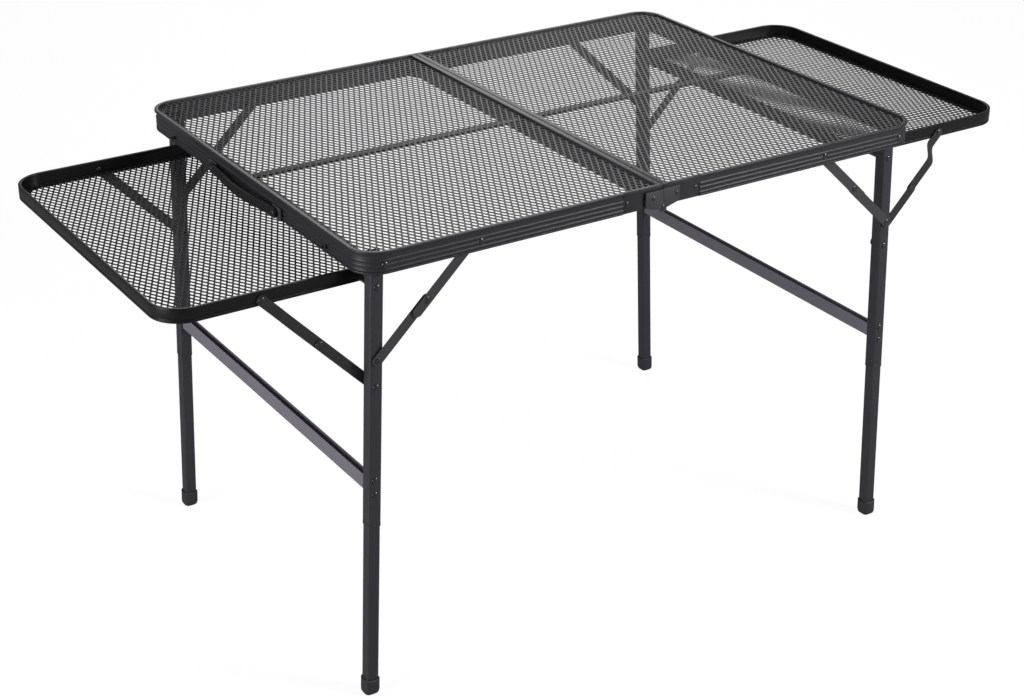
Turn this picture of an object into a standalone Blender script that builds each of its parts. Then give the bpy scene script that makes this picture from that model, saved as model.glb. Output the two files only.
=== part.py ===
# Folding camping table with a mesh top in two hinged halves, two lower side wings and telescoping legs.
# Metres, +Z up, origin on the floor under the middle of the table, +X along the top, -Y the front.

import math

import bmesh
import bpy
from mathutils import Matrix, Vector

# Top
top_half_length = 0.410
top_width = 0.600
top_height = 0.600
rim_height = 0.028
rim_depth = 0.012
rim_corner = 0.035
lip_width = 0.005
lip_drop = 0.0045
lip_root = 0.001
bead_height = 0.003
bead_slope = 0.001
bead_edge = 0.0008
waist = 0.0022
rib_height = 0.0010
rib_count = 3
rib_pitch = 0.0058
rib_root = 0.0004
rib_width = 0.0034
rib_slope = 0.0008
foot_bead_height = 0.0025
foot_bead_inset = 0.0010
seam_gap = 0.0006
seam_rail_width = 0.008
plain_length = 0.057
bar_width = 0.014
bar_depth = 0.0025
bar_tab_length = 0.015
bar_tab_thickness = 0.002

# Mesh panels
mesh_thickness = 0.0015
mesh_long_way = 0.142
mesh_short_way = 0.0625
mesh_strand = 0.006
mesh_border = 0.011

# Middle hinge
leaf_thickness = 0.0016
leaf_length = 0.0255
leaf_rise = 0.022
leaf_foot = 0.002
leaf_notch = 0.004
leaf_tab_radius = 0.006
hinge_drop = 0.0015
hinge_bolt_radius = 0.002
bolt_head = 0.004
leaf_rivet = 0.003
left_leaf_rivet = 0.0145
right_leaf_rivet = 0.0215
block_rivet = 0.051
block_inset = 0.0022
side_rivet_rise = 0.0126

# Legs
leg_splay = math.radians(2.5)
leg_pivot_inset = 0.030
leg_pivot_drop = 0.0165
leg_size = 0.017
leg_wall = 0.0005
leg_head = 0.006
upper_leg_length = 0.341
lower_leg_wall = 0.0012
lower_leg_overlap = 0.040
collar_size = 0.0172
collar_height = 0.004
foot_size = 0.0208
foot_height = 0.0225
foot_floor = 0.005
foot_round = 0.008
foot_spare = 0.004
crossbar_rise = 0.049
crossbar_height = 0.0195
crossbar_thickness = 0.010
crossbar_rivet_pitch = 0.019
crossbar_edge = 0.0015

# Wings
wing_spacing = 0.0229
wing_pivot_drop = 0.035
wing_inner_reach = 0.024
wing_outer_reach = 0.243
wing_rail_height = 0.018
wing_rail_above_pivot = 0.0115
wing_rail_depth = 0.010
wing_corner = 0.040
wing_inner_corner = 0.018
wing_lip = 0.004
wing_lip_drop = 0.0168
wing_groove = 0.0008
wing_groove_rise = 0.003
wing_groove_width = 0.0023
wing_groove_slope = 0.0005
wing_edge = 0.0008

# Braces
brace_arm = 0.125
link_width = 0.013
link_thickness = 0.0016
main_overlap = 0.018
joggle_start = 0.020
joggle_run = 0.022
rivet_room = 0.0015
leg_room = 0.0019

# Pins and rivets
pin_radius = 0.003
rivet_radius = 0.0045
rivet_height = 0.0011
rivet_bevel = 0.0009
spacer_radius = 0.005

# Handle, studs and clasps on the ends
handle_span = 0.200
handle_height = 0.013
handle_thickness = 0.004
handle_bow = 0.007
handle_drop = 0.0195
strap_inset = 0.0066
bracket_length = 0.022
bracket_height = 0.016
bracket_thickness = 0.0022
latch_inset = 0.089
stud_drop = 0.019
stud_length = 0.005
stud_radius = 0.002
stud_head = 0.0032
stud_head_height = 0.0015
clasp_width = 0.022
clasp_length = 0.017
clasp_thickness = 0.0025
clasp_axis_rise = 0.006
clasp_standoff = 0.0022
clasp_pin_radius = 0.0007
ear_width = 0.002
ear_height = 0.006

# Fits
gap = 0.0003
slide_gap = 0.0002
beyond = 0.010
sunk = 0.0006
leg_sunk = 0.0003

# Values that follow from those above
rim_bottom = top_height - rim_height
rim_inner = top_width / 2 - rim_depth
mesh_bottom = top_height - lip_drop + gap
half_end = seam_gap / 2
pivot_x = top_half_length - leg_pivot_inset
pivot_z = top_height - leg_pivot_drop
upper_link_y = rim_inner - rivet_room - link_thickness / 2
lower_link_y = upper_link_y - link_thickness - rivet_room
leg_outer = lower_link_y - link_thickness / 2 - leg_room
leg_y = leg_outer - leg_size / 2
leg_inner = leg_outer - leg_size
wing_half_width = leg_inner - wing_spacing
wing_link_y = wing_half_width + gap + link_thickness / 2
leg_link_y = leg_inner - rivet_room - link_thickness / 2
wing_elbow_y = leg_link_y - link_thickness - gap
lower_leg_size = leg_size - 2 * leg_wall - 2 * slide_gap
leg_length = pivot_z / math.cos(leg_splay)
wing_brace_drop = wing_pivot_drop + brace_arm
crossbar_drop = upper_leg_length - crossbar_rise
latch_offset = top_width / 2 - latch_inset
block_outer = top_width / 2 - block_inset
inner_leaf_y = block_outer + gap + leaf_thickness / 2
outer_leaf_y = inner_leaf_y + leaf_thickness + gap
hinge_z = rim_bottom - hinge_drop
wing_rail_bottom = wing_rail_above_pivot - wing_rail_height
side_rivet_z = rim_bottom + side_rivet_rise
clasp_x = top_half_length + clasp_standoff
clasp_z = rim_bottom + clasp_axis_rise
sides = (("left", -1), ("right", 1))
rows = (("front", -1), ("back", 1))

charcoal = (0.030, 0.030, 0.034, 1)
black = (0.008, 0.008, 0.009, 1)
grey = (0.09, 0.09, 0.095, 1)


def clear_scene():
    for thing in list(bpy.data.objects):
        bpy.data.objects.remove(thing, do_unlink=True)


def new_collection(name):
    made = bpy.data.collections.new(name)
    bpy.context.scene.collection.children.link(made)
    return made


def paint(thing, colour, roughness, metallic):
    material = bpy.data.materials.new(thing.name)
    material.use_nodes = True
    shader = material.node_tree.nodes["Principled BSDF"]
    shader.inputs["Base Color"].default_value = colour
    shader.inputs["Roughness"].default_value = roughness
    shader.inputs["Metallic"].default_value = metallic
    thing.data.materials.append(material)


def add(name, data, colour=charcoal, roughness=0.45, metallic=0.3, place=None):
    thing = bpy.data.objects.new(name, data)
    parts.objects.link(thing)
    paint(thing, colour, roughness, metallic)
    if place is not None:
        thing.matrix_world = place
    return thing


def helper(name, data):
    thing = bpy.data.objects.new(name, data)
    cutters.objects.link(thing)
    thing.hide_render = True
    thing.display_type = "WIRE"
    return thing


def boxes_mesh(name, boxes):
    # One mesh of separate boxes, each given by its lowest and highest corner.
    shape = bmesh.new()
    for low, high in boxes:
        low, high = Vector(low), Vector(high)
        scale = Matrix.Diagonal((*(high - low), 1))
        bmesh.ops.create_cube(shape, size=1, matrix=Matrix.Translation((low + high) / 2) @ scale)
    mesh = bpy.data.meshes.new(name)
    shape.to_mesh(mesh)
    shape.free()
    return mesh


def turned_mesh(name, pieces, steps=10):
    # Separate turned solids along Y: each has a centre and a profile of (radius, y) from axis to axis.
    shape = bmesh.new()
    for centre, profile in pieces:
        points = [shape.verts.new(Vector(centre) + Vector((radius, y, 0))) for radius, y in profile]
        edges = [shape.edges.new(pair) for pair in zip(points, points[1:])]
        turn = {"cent": centre, "axis": (0, 1, 0), "angle": 2 * math.pi, "steps": steps}
        bmesh.ops.spin(shape, geom=points + edges, **turn)
    bmesh.ops.remove_doubles(shape, verts=shape.verts, dist=1e-5)
    bmesh.ops.recalc_face_normals(shape, faces=shape.faces)
    mesh = bpy.data.meshes.new(name)
    shape.to_mesh(mesh)
    shape.free()
    return mesh


def pin_profile(start, stop, radius, head=0.0, tail=0.0, head_radius=rivet_radius):
    # A pin along Y from start to stop with a head of the given height beyond stop, and one beyond start.
    way = 1 if stop > start else -1
    outline = [(0, start - way * tail)]
    if tail:
        outline += [(head_radius, start - way * tail), (head_radius, start)]
    outline += [(radius, start), (radius, stop)]
    if head:
        outline += [(head_radius, stop), (head_radius - rivet_bevel, stop + way * head)]
    return outline + [(0, stop + way * head)]


def spline(curve, points, cyclic=True):
    line = curve.splines.new("POLY")
    line.points.add(len(points) - 1)
    for point, place in zip(line.points, points):
        point.co = (place[0], place[1], 0, 1)
    line.use_cyclic_u = cyclic


def flat_curve(name, outlines, thickness):
    # A plate in the curve's own XY plane: the first outline less the others.
    curve = bpy.data.curves.new(name, "CURVE")
    curve.dimensions = "2D"
    curve.fill_mode = "BOTH"
    curve.extrude = thickness / 2
    for points in outlines:
        spline(curve, points)
    return curve


def swept_curve(name, path, profile, cyclic):
    # The profile, as (outward, up), carried along a path that has its outer side on its left.
    section = bpy.data.curves.new(name + "_section", "CURVE")
    section.dimensions = "2D"
    spline(section, [(-outward, up) for outward, up in profile])
    curve = bpy.data.curves.new(name, "CURVE")
    curve.dimensions = "2D"
    curve.fill_mode = "NONE" if cyclic else "BOTH"
    curve.bevel_mode = "OBJECT"
    curve.bevel_object = helper(name + "_section", section)
    curve.use_fill_caps = not cyclic
    spline(curve, path, cyclic)
    return curve


def mesh_from_curve(curve):
    # The curve as a closed mesh, which a Boolean can cut.
    thing = helper(curve.name + "_curve", curve)
    bpy.context.view_layer.update()
    graph = bpy.context.evaluated_depsgraph_get()
    mesh = bpy.data.meshes.new_from_object(thing.evaluated_get(graph))
    bpy.data.objects.remove(thing)
    shape = bmesh.new()
    shape.from_mesh(mesh)
    bmesh.ops.remove_doubles(shape, verts=shape.verts, dist=1e-5)
    bmesh.ops.recalc_face_normals(shape, faces=shape.faces)
    shape.to_mesh(mesh)
    shape.free()
    return mesh


def combine(thing, mesh, operation):
    other = helper(thing.name + "_tool_" + str(len(thing.modifiers)), mesh)
    other.matrix_world = thing.matrix_world
    modifier = thing.modifiers.new(operation.lower(), "BOOLEAN")
    modifier.operation = operation
    modifier.solver = "EXACT"
    modifier.object = other


def cut(thing, mesh):
    combine(thing, mesh, "DIFFERENCE")


def join(thing, mesh):
    combine(thing, mesh, "UNION")


def arc(centre, radius, start, stop, steps):
    angles = [math.radians(start + (stop - start) * i / steps) for i in range(steps + 1)]
    return [(centre[0] + radius * math.cos(a), centre[1] + radius * math.sin(a)) for a in angles]


def circle(centre, radius, steps=12):
    return arc(centre, radius, 0, 360 - 360 / steps, steps - 1)


def lengthwise(x):
    # Turns a plate drawn in Y and Z to stand across X at the given place.
    return Matrix(((0, 0, 1, x), (1, 0, 0, 0), (0, 1, 0, 0), (0, 0, 0, 1)))


def upright(y):
    # Puts a plate's XY plane in the upright plane XZ at the given Y.
    return Matrix.Translation((0, y, 0)) @ Matrix.Rotation(math.pi / 2, 4, "X")


def leg_pivot(sx):
    return Vector((sx * pivot_x, 0, pivot_z))


def leg_place(sx, along):
    # A point in the XZ plane at a distance down the leg's axis.
    return leg_pivot(sx) + along * Vector((sx * math.sin(leg_splay), 0, -math.cos(leg_splay)))


def leg_matrix(sx):
    return Matrix.Translation(leg_pivot(sx)) @ Matrix.Rotation(-sx * leg_splay, 4, "Y")


def wing_pivot(sx):
    return leg_place(sx, wing_pivot_drop)


def group(name, place, things):
    # An empty on the joint's axis carries the pieces that move together.
    empty = bpy.data.objects.new(name + "_axis", None)
    parts.objects.link(empty)
    empty.location = place
    empty.empty_display_size = 0.02
    for thing in things:
        thing.parent = empty
        thing.matrix_parent_inverse = Matrix.Translation(-Vector(place))


def rim_profile():
    # Outer face of the extrusion from its foot up: foot bead, ribs, plain band, top bead, lip and ledge.
    outline = [(-rim_depth, 0), (-foot_bead_inset, 0), (-foot_bead_inset, foot_bead_height)]
    for i in range(rib_count):
        low = foot_bead_height + i * rib_pitch + rib_root
        high = low + rib_width
        outline += [(-waist, low), (rib_height - waist, low + rib_slope)]
        outline += [(rib_height - waist, high - rib_slope), (-waist, high)]
    outline += [(-waist, rim_height - bead_height - bead_slope), (0, rim_height - bead_height)]
    outline += [(0, rim_height - bead_edge), (-bead_edge, rim_height), (-lip_width, rim_height)]
    return outline + [(-lip_width, rim_height - lip_drop), (-rim_depth, rim_height - lip_drop)]


def rim_path(sx):
    x, y, r = top_half_length, top_width / 2, rim_corner
    line = [(plain_length, -y)]
    line += arc((x - r, -y + r), r, 270, 360, 7) + arc((x - r, y - r), r, 0, 90, 7)
    line += [(plain_length, y)]
    line = [(sx * a, b) for a, b in line]
    return line if sx < 0 else line[::-1]


def rim_seats(sx):
    # Where pins go through the long sides of the rim: the leg pivot and the upper end of the main brace.
    inner_end = leg_pivot(sx) - Vector((sx * brace_arm, 0, 0))
    return [leg_pivot(sx), inner_end]


def rim_pins(sx):
    # The leg pivots and the brace pivots, riveted through the long sides.
    leg, brace = rim_seats(sx)
    seat = top_width / 2 - waist - sunk
    head = sunk + rib_height + rivet_height
    pins = []
    for _, sy in rows:
        leg_end = sy * (leg_inner - gap)
        brace_end = sy * (upper_link_y - link_thickness / 2)
        pins.append((leg, pin_profile(leg_end, sy * seat, pin_radius, head, rivet_height)))
        pins.append((brace, pin_profile(brace_end, sy * seat, pin_radius, head)))
    return turned_mesh("rim_pins", pins)


def latch_studs():
    # Headed pins on the left end, which the clasps hook over when the table is folded.
    start = rim_depth / 2
    reach = stud_length - stud_head_height
    profile = pin_profile(-start, reach, stud_radius, stud_head_height, 0, stud_head)
    mesh = turned_mesh("latch_studs", [((sy * latch_offset, 0, 0), profile) for _, sy in rows])
    quarter = Matrix.Rotation(math.pi / 2, 4, "Z")
    mesh.transform(Matrix.Translation((waist - top_half_length, 0, top_height - stud_drop)) @ quarter)
    return mesh


def clasp_ears():
    # Two ears for each clasp on the right end, and the pin between them.
    boxes, pins = [], []
    for _, sy in rows:
        edge = clasp_width / 2 + gap
        for side in (-1, 1):
            ends = sorted((sy * latch_offset + side * edge, sy * latch_offset + side * (edge + ear_width)))
            low = (top_half_length - rim_depth / 2, ends[0], clasp_z - ear_height / 2)
            boxes.append((low, (clasp_x + clasp_thickness / 2, ends[1], clasp_z + ear_height / 2)))
        reach = edge + ear_width / 2
        pin = pin_profile(sy * latch_offset - reach, sy * latch_offset + reach, clasp_pin_radius)
        pins.append(((clasp_x, 0, clasp_z), pin))
    return boxes_mesh("clasp_ears", boxes), turned_mesh("clasp_pins", pins)


def make_rim(name, sx):
    # The ribbed U with its riveted pins. The left one has the latch studs, the right one the clasp ears.
    mesh = mesh_from_curve(swept_curve("rim_" + name, rim_path(sx), rim_profile(), False))
    mesh.transform(Matrix.Translation((0, 0, rim_bottom)))
    rim = add("rim_" + name, mesh)
    for fitting in [rim_pins(sx)] + ([latch_studs()] if sx < 0 else list(clasp_ears())):
        join(rim, fitting)
    return rim


def make_hinge_block(name, row, sx, sy):
    # Plain closing piece of a long side, from the ribbed rim to the seam, with its two rivet heads.
    title = "hinge_block_" + name + "_" + row
    length = plain_length - gap - half_end
    lip_inner, edge = top_width / 2 - lip_width, top_width / 2 - gap
    step, ledge = top_height - lip_drop - lip_root, top_height - lip_drop
    outline = [(rim_inner, rim_bottom), (block_outer, rim_bottom), (block_outer, step), (edge, step)]
    outline += [(edge, top_height), (lip_inner, top_height), (lip_inner, ledge), (rim_inner, ledge)]
    mesh = mesh_from_curve(flat_curve(title, [[(sy * y, z) for y, z in outline]], length))
    mesh.transform(lengthwise(sx * (half_end + length / 2)))
    block = add(title, mesh)
    centre = (sx * block_rivet, 0, side_rivet_z)
    reach = (sy * (block_outer - rivet_height), sy * block_outer)
    head = pin_profile(*reach, leaf_rivet, rivet_height, 0, leaf_rivet)
    join(block, turned_mesh(title + "_rivet", [(centre, head)]))
    return block


def make_seam_rail(name, sx):
    # A deep rail between the long sides, whose top runs on over their ledges to the lip.
    title = "seam_rail_" + name
    foot, reach = rim_inner - gap, top_width / 2 - lip_width - gap
    ledge = top_height - lip_drop + gap
    outline = [(-foot, rim_bottom), (foot, rim_bottom), (foot, ledge), (reach, ledge)]
    outline += [(reach, top_height), (-reach, top_height), (-reach, ledge), (-foot, ledge)]
    mesh = mesh_from_curve(flat_curve(title, [outline], seam_rail_width))
    mesh.transform(lengthwise(sx * (half_end + seam_rail_width / 2)))
    return add(title, mesh)


def make_centre_bar(name, sx):
    # The bar under the mesh, with a tab turned down against the seam rail.
    seam = half_end + seam_rail_width + gap
    top = top_height - lip_drop - gap
    outline = [(seam, top), (top_half_length - rim_depth - gap, top)]
    outline += [(top_half_length - rim_depth - gap, top - bar_depth)]
    outline += [(seam + bar_tab_thickness, top - bar_depth)]
    outline += [(seam + bar_tab_thickness, top - bar_tab_length), (seam, top - bar_tab_length)]
    curve = flat_curve("centre_bar_" + name, [[(sx * x, z) for x, z in outline]], bar_width)
    return add("centre_bar_" + name, curve, place=upright(0))


def clipped(points, low, high):
    # A convex outline cut to a rectangle, one edge after another.
    for axis, limit, sign in ((0, low[0], 1), (0, high[0], -1), (1, low[1], 1), (1, high[1], -1)):
        kept = []
        for a, b in zip(points, points[1:] + points[:1]):
            inside_a, inside_b = sign * (a[axis] - limit) > 0, sign * (b[axis] - limit) > 0
            if inside_a:
                kept.append(a)
            if inside_a != inside_b:
                t = (limit - a[axis]) / (b[axis] - a[axis])
                kept.append((a[0] + t * (b[0] - a[0]), a[1] + t * (b[1] - a[1])))
        points = kept
    return points


def outline_area(points):
    pairs = zip(points, points[1:] + points[:1])
    return abs(sum(a[0] * b[1] - a[1] * b[0] for a, b in pairs)) / 2


def diamonds(low, high):
    # Staggered diamond gaps, long way along Y, between the two corners of a rectangle.
    middle = ((low[0] + high[0]) / 2, (low[1] + high[1]) / 2)
    a, b = mesh_short_way / 2, mesh_long_way / 2
    shrink = 1 - mesh_strand * math.hypot(a, b) / (2 * a * b)
    found = []
    across = math.ceil((high[0] - low[0]) / a)
    along = math.ceil((high[1] - low[1]) / b)
    for i in range(-across, across + 1):
        for j in range(-along, along + 1):
            if (i + j) % 2:
                continue
            x, y = middle[0] + i * a, middle[1] + j * b
            shape = [(x + a * shrink, y), (x, y + b * shrink), (x - a * shrink, y), (x, y - b * shrink)]
            shape = clipped(shape, low, high)
            if len(shape) > 2 and outline_area(shape) > (2 * mesh_strand) ** 2:
                found.append(shape)
    return found


def mesh_panel(name, low, high, corners, z, place=None):
    inset_low = (low[0] + mesh_border, low[1] + mesh_border)
    inset_high = (high[0] - mesh_border, high[1] - mesh_border)
    curve = flat_curve(name, [corners] + diamonds(inset_low, inset_high), mesh_thickness)
    return add(name, curve, grey, 0.5, 0.4, Matrix.Translation((0, 0, z + mesh_thickness / 2)))


def make_top_mesh(name, sx):
    y, r = top_width / 2 - lip_width - gap, rim_corner - lip_width
    inner, outer = half_end + seam_rail_width + gap, top_half_length - lip_width - gap
    outline = [(inner, y), (inner, -y)]
    outline += arc((outer - r, -y + r), r, 270, 360, 6) + arc((outer - r, y - r), r, 0, 90, 6)
    xs = sorted((sx * inner, sx * outer))
    outline = [(sx * a, b) for a, b in outline]
    return mesh_panel("top_mesh_" + name, (xs[0], -y), (xs[1], y), outline, mesh_bottom)


def leaf_outline(sx):
    foot, top = rim_bottom + leaf_foot, rim_bottom + leaf_rise
    inner = sx * (half_end + gap)
    outer = sx * (half_end + leaf_length)
    tab = arc((0, hinge_z), leaf_tab_radius, 200, 340, 8)
    if sx > 0:
        return [(inner, top), (inner, foot + leaf_notch)] + tab + [(outer, foot), (outer, top)]
    return [(outer, top), (outer, foot)] + tab + [(inner, foot + leaf_notch), (inner, top)]


def make_hinge_leaf(name, row, sx, sy):
    # A plate with a tab round the hinge axis. The left one carries the bolt that the right one turns on.
    title = "hinge_leaf_" + name + "_" + row
    y = outer_leaf_y if sx < 0 else inner_leaf_y
    bolt = circle((0, hinge_z), hinge_bolt_radius + gap)
    outlines = [leaf_outline(sx)] + ([bolt] if sx > 0 else [])
    mesh = mesh_from_curve(flat_curve(title, outlines, leaf_thickness))
    mesh.transform(upright(sy * y))
    leaf = add(title, mesh, black, 0.35, 0.6)
    face = y + leaf_thickness / 2
    centre = (-left_leaf_rivet if sx < 0 else right_leaf_rivet, 0, side_rivet_z)
    depth = leaf_thickness / 2
    pins = [(centre, pin_profile(sy * (face - depth), sy * face, leaf_rivet, rivet_height, 0, leaf_rivet))]
    if sx < 0:
        start = inner_leaf_y - leaf_thickness / 2
        head = depth + rivet_height
        shank = pin_profile(sy * start, sy * (face - depth), hinge_bolt_radius, head, 0, bolt_head)
        pins.append(((0, 0, hinge_z), shank))
    join(leaf, turned_mesh(title + "_pins", pins))
    return leaf


def make_top_half(name, sx):
    makers = (make_rim, make_seam_rail, make_centre_bar, make_top_mesh)
    things = [make(name, sx) for make in makers]
    for row, sy in rows:
        things += [make_hinge_block(name, row, sx, sy), make_hinge_leaf(name, row, sx, sy)]
    return things


def wing_pivot_pin(sy):
    # Through the leg and the wing's wall, with a spacer between the two and a head on the leg.
    outer, inner = sy * (leg_outer - leg_sunk), sy * (leg_inner + leg_sunk)
    rail_out, top = sy * (wing_half_width + gap), sy * (leg_outer + rivet_height)
    tip = sy * (wing_half_width - wing_lip - rivet_height)
    profile = [(0, tip), (pin_radius, tip)]
    profile += [(pin_radius, rail_out), (spacer_radius, rail_out), (spacer_radius, inner)]
    profile += [(pin_radius, inner), (pin_radius, outer), (rivet_radius, outer)]
    return profile + [(rivet_radius - rivet_bevel, top), (0, top)]


def main_brace_stud(sy):
    # On the leg's outer face: a shoulder, the pin for the lower link and a head.
    base, shoulder = sy * (leg_outer - leg_sunk), sy * (lower_link_y - link_thickness / 2 - gap)
    face = sy * (lower_link_y + link_thickness / 2 + gap)
    top = face + sy * (rivet_height - gap)
    profile = [(0, base), (spacer_radius, base), (spacer_radius, shoulder), (pin_radius, shoulder)]
    return profile + [(pin_radius, face), (rivet_radius, face), (rivet_radius - rivet_bevel, top), (0, top)]


def wing_brace_stud(sy):
    # On the leg's inner face: a shoulder and the pin for the lower link.
    base, shoulder = sy * (leg_inner + leg_sunk), sy * (leg_link_y + link_thickness / 2 + gap)
    stop = sy * (leg_link_y - link_thickness / 2)
    profile = [(0, base), (spacer_radius, base), (spacer_radius, shoulder), (pin_radius, shoulder)]
    return profile + [(pin_radius, stop), (0, stop)]


def leg_pins(sy):
    # The wing pivot, the studs of both braces, and the rivet heads on the outer face.
    head = pin_profile(sy * (leg_outer - leg_sunk), sy * leg_outer, rivet_radius, rivet_height)
    pieces = [(wing_pivot_drop, wing_pivot_pin(sy)), (brace_arm, main_brace_stud(sy))]
    pieces += [(wing_brace_drop, wing_brace_stud(sy)), (wing_brace_drop, head)]
    pieces += [(crossbar_drop + side * crossbar_rivet_pitch / 2, head) for side in (-1, 1)]
    return [((0, 0, -drop), profile) for drop, profile in pieces]


def make_upper_leg(name, row, sx, sy):
    # A square tube, open at both ends, drilled for the leg pivot.
    half, bore = leg_size / 2, leg_size / 2 - leg_wall
    box = ((-half, sy * leg_y - half, -upper_leg_length), (half, sy * leg_y + half, leg_head))
    title = "upper_leg_" + name + "_" + row
    leg = add(title, boxes_mesh(title, [box]), place=leg_matrix(sx))
    low, high = -upper_leg_length - beyond, leg_head + beyond
    inside = ((-bore, sy * leg_y - bore, low), (bore, sy * leg_y + bore, high))
    cut(leg, boxes_mesh(title + "_bore", [inside]))
    reach = [sy * (leg_inner - beyond), sy * (leg_outer + beyond)]
    cut(leg, turned_mesh(title + "_hole", [((0, 0, 0), pin_profile(*reach, pin_radius + gap))]))
    join(leg, turned_mesh(title + "_pins", leg_pins(sy)))
    return leg


def make_collar(name, row, sx, sy):
    # A moulded bush on the open end of the upper leg, flush with it, which guides the lower leg.
    title = "collar_" + name + "_" + row
    half, y = collar_size / 2, sy * leg_y
    slide = lower_leg_size / 2 + slide_gap
    top = -upper_leg_length - gap
    low = top - collar_height
    mesh = boxes_mesh(title, [((-half, y - half, low), (half, y + half, top))])
    collar = add(title, mesh, black, 0.5, 0.0, leg_matrix(sx))
    bore = ((-slide, y - slide, low - beyond), (slide, y + slide, top + beyond))
    cut(collar, boxes_mesh(title + "_bore", [bore]))
    return collar


def make_crossbar(name, sx):
    y, half = leg_inner - gap, crossbar_thickness / 2
    low, high = -crossbar_drop - crossbar_height / 2, -crossbar_drop + crossbar_height / 2
    mesh = boxes_mesh("crossbar_" + name, [((-half, -y, low), (half, y, high))])
    bar = add("crossbar_" + name, mesh, place=leg_matrix(sx))
    round_over = bar.modifiers.new("round", "BEVEL")
    round_over.width = crossbar_edge
    round_over.segments = 1
    return bar


def make_lower_leg(name, row, sx, sy):
    title = "lower_leg_" + name + "_" + row
    half, bore = lower_leg_size / 2, lower_leg_size / 2 - lower_leg_wall
    low, high = -(leg_length - foot_floor - gap), -(upper_leg_length - lower_leg_overlap)
    y = sy * leg_y
    tube = boxes_mesh(title, [((-half, y - half, low), (half, y + half, high))])
    leg = add(title, tube, place=leg_matrix(sx))
    inside = ((-bore, y - bore, low - beyond), (bore, y + bore, high + beyond))
    cut(leg, boxes_mesh(title + "_bore", [inside]))
    return leg


def make_foot(name, row, sx, sy):
    # A moulded cap with a socket for the lower leg and a sole cut level with the floor.
    title = "foot_" + name + "_" + row
    half, tube, y = foot_size / 2, lower_leg_size / 2 + gap, sy * leg_y
    r = foot_round
    outline = arc((half - r, half - r), r, 0, 90, 4) + arc((r - half, half - r), r, 90, 180, 4)
    outline += arc((r - half, r - half), r, 180, 270, 4) + arc((half - r, r - half), r, 270, 360, 4)
    height = foot_height + foot_spare
    mesh = mesh_from_curve(flat_curve(title, [outline], height))
    mesh.transform(Matrix.Translation((0, y, -leg_length + foot_height - height / 2)))
    shape = bmesh.new()
    shape.from_mesh(mesh)
    into_leg = leg_matrix(sx).inverted()
    up = into_leg.to_3x3() @ Vector((0, 0, 1))
    cutting = bmesh.ops.bisect_plane(
        shape,
        geom=shape.verts[:] + shape.edges[:] + shape.faces[:],
        plane_co=into_leg @ Vector((0, 0, 0)),
        plane_no=up,
        clear_inner=True,
    )
    edges = [part for part in cutting["geom_cut"] if isinstance(part, bmesh.types.BMEdge)]
    bmesh.ops.contextual_create(shape, geom=edges)
    bmesh.ops.recalc_face_normals(shape, faces=shape.faces)
    shape.to_mesh(mesh)
    shape.free()
    foot = add(title, mesh, black, 0.6, 0.0, leg_matrix(sx))
    top = -leg_length + foot_height + beyond
    socket = ((-tube, y - tube, -leg_length + foot_floor), (tube, y + tube, top))
    cut(foot, boxes_mesh(title + "_socket", [socket]))
    return foot


def make_leg_pair(name, sx):
    frame = [make_upper_leg(name, row, sx, sy) for row, sy in rows]
    frame += [make_collar(name, row, sx, sy) for row, sy in rows]
    frame.append(make_crossbar(name, sx))
    group("legs_" + name, leg_pivot(sx), frame)
    for row, sy in rows:
        sliding = [make_lower_leg(name, row, sx, sy), make_foot(name, row, sx, sy)]
        sole = leg_place(sx, leg_length) + Vector((0, sy * leg_y, 0))
        group("lower_leg_" + name + "_" + row, sole, sliding)


def wing_profile():
    # The wing's rail: outer face with a groove near its foot, a wall round the mesh and a ledge under it.
    low, high = wing_rail_bottom, wing_rail_above_pivot
    groove = low + wing_groove_rise
    floor = (groove + wing_groove_slope, groove + wing_groove_width - wing_groove_slope)
    outline = [(-wing_rail_depth, low), (-wing_edge, low), (0, low + wing_edge), (0, groove)]
    outline += [(-wing_groove, floor[0]), (-wing_groove, floor[1]), (0, groove + wing_groove_width)]
    ledge = high - wing_lip_drop
    outline += [(0, high - wing_edge), (-wing_edge, high), (-wing_lip, high), (-wing_lip, ledge)]
    return outline + [(-wing_rail_depth, ledge)]


def wing_box(sx, inset):
    # Lowest and highest corner of the wing in plan, drawn in by an inset.
    x = wing_pivot(sx).x
    ends = sorted((x - sx * (wing_inner_reach - inset), x + sx * (wing_outer_reach - inset)))
    return (ends[0], inset - wing_half_width), (ends[1], wing_half_width - inset)


def wing_outline(sx, inset):
    # The wing in plan, with larger corners at its outer end than at its inner end.
    low, high = wing_box(sx, inset)
    outer, inner = wing_corner - inset, wing_inner_corner - inset
    at_low, at_high = (inner, outer) if sx > 0 else (outer, inner)
    line = arc((high[0] - at_high, low[1] + at_high), at_high, 360, 270, 6)
    line += arc((low[0] + at_low, low[1] + at_low), at_low, 270, 180, 6)
    line += arc((low[0] + at_low, high[1] - at_low), at_low, 180, 90, 6)
    return line + arc((high[0] - at_high, high[1] - at_high), at_high, 90, 0, 6)


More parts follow.
